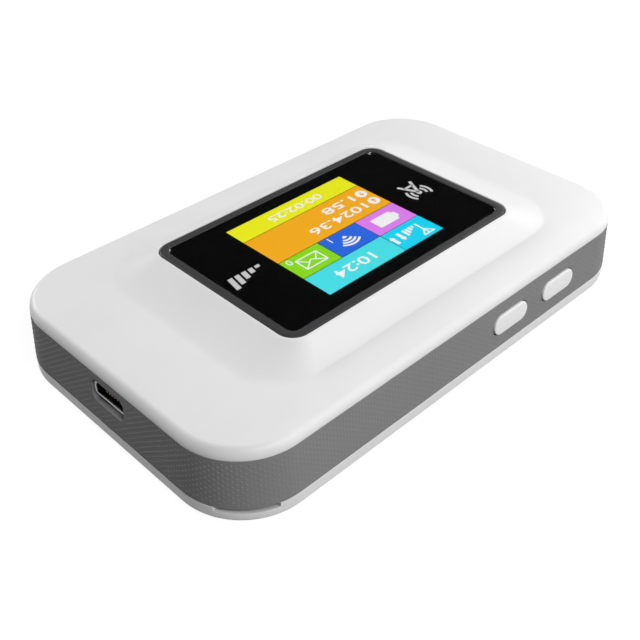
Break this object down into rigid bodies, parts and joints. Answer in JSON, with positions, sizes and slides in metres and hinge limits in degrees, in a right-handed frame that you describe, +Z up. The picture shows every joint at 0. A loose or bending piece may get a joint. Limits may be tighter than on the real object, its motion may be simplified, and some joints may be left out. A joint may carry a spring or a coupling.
{
  "type": "mobile hotspot",
  "caption": "Pocket mobile hotspot: white shell with a colour display, grey side band with two keys and a micro-USB socket, clip-on back cover over a battery.",
  "frame": {"origin": "middle of the underside", "axes": "+Z up out of the display; X along the length, micro-USB socket at -X; keys on the -Y side"},
  "size_m": [0.098, 0.0594, 0.0165],
  "materials": {
    "white_plastic": "satin",
    "key_plastic": "satin",
    "grey_plastic": "matt, fine raised dot texture",
    "bezel_plastic": "satin",
    "window_glass": "gloss",
    "lcd_glass": "gloss",
    "backlight_film": "satin",
    "black_plastic": "matt",
    "chassis_plastic": "matt",
    "circuit_board": "satin",
    "steel": "satin",
    "gold_plate": "gloss",
    "foil": "satin",
    "battery_wrap": "satin"
  },
  "bodies": {
    "housing": {"top_cover": "white_plastic", "side_band": "grey_plastic", "chassis": "chassis_plastic", "display_bezel": "bezel_plastic", "display_window": "window_glass", "window_tape": "black_plastic", "lcd_panel": "lcd_glass", "lcd_backlight": "backlight_film", "lcd_holder": "chassis_plastic", "lcd_flex": "foil", "lcd_flex_plug": "black_plastic", "power_switch": "steel", "function_switch": "steel", "reset_switch": "steel", "usb_shell": "steel", "usb_tongue": "black_plastic", "usb_contact_1": "gold_plate", "usb_contact_2": "gold_plate", "usb_contact_3": "gold_plate", "usb_contact_4": "gold_plate", "usb_contact_5": "gold_plate", "main_board": "circuit_board", "processor_shield": "steel", "radio_shield": "steel", "processor_chip": "black_plastic", "memory_chip": "black_plastic", "radio_chip": "black_plastic", "amplifier_chip": "black_plastic", "power_chip": "black_plastic", "sim_base": "black_plastic", "sim_cover": "steel", "main_antenna": "foil", "second_antenna": "foil", "wireless_antenna": "foil", "battery_spring_1": "gold_plate", "battery_spring_2": "gold_plate", "battery_spring_3": "gold_plate", "battery_connector": "black_plastic", "screw_1": "steel", "screw_2": "steel", "screw_3": "steel", "screw_4": "steel"},
    "back_cover": {"back_cover": "white_plastic"},
    "battery": {"battery_cell": "battery_wrap", "battery_cap": "black_plastic", "battery_terminal_1": "gold_plate", "battery_terminal_2": "gold_plate", "battery_terminal_3": "gold_plate"},
    "power_key": {"power_key": "key_plastic"},
    "power_plunger": {"power_plunger": "black_plastic"},
    "function_key": {"function_key": "key_plastic"},
    "function_plunger": {"function_plunger": "black_plastic"},
    "reset_key": {"reset_key": "black_plastic"}
  },
  "joints": [
    {"name": "back_cover_off", "type": "slide", "parent": "housing", "child": "back_cover", "axis": [0, 0, -1], "range_m": [0, 0.036]},
    {"name": "battery_out", "type": "slide", "parent": "housing", "child": "battery", "axis": [0, 0, -1], "range_m": [0, 0.018]},
    {"name": "power_key_press", "type": "slide", "parent": "housing", "child": "power_key", "axis": [0, 1, 0], "range_m": [0, 0.00035], "stiffness_N_per_m": 1500},
    {"name": "power_plunger_press", "type": "slide", "parent": "housing", "child": "power_plunger", "axis": [0, 1, 0], "range_m": [0, 0.00035]},
    {"name": "function_key_press", "type": "slide", "parent": "housing", "child": "function_key", "axis": [0, 1, 0], "range_m": [0, 0.00035], "stiffness_N_per_m": 1500},
    {"name": "function_plunger_press", "type": "slide", "parent": "housing", "child": "function_plunger", "axis": [0, 1, 0], "range_m": [0, 0.00035]},
    {"name": "reset_press", "type": "slide", "parent": "housing", "child": "reset_key", "axis": [0, 0, 1], "range_m": [0, 0.00025], "stiffness_N_per_m": 1500}
  ],
  "couplings": [
    {"joint": "battery_out", "follows": "back_cover_off", "ratio": 0.5},
    {"joint": "power_plunger_press", "follows": "power_key_press", "ratio": 1},
    {"joint": "function_plunger_press", "follows": "function_key_press", "ratio": 1}
  ]
}
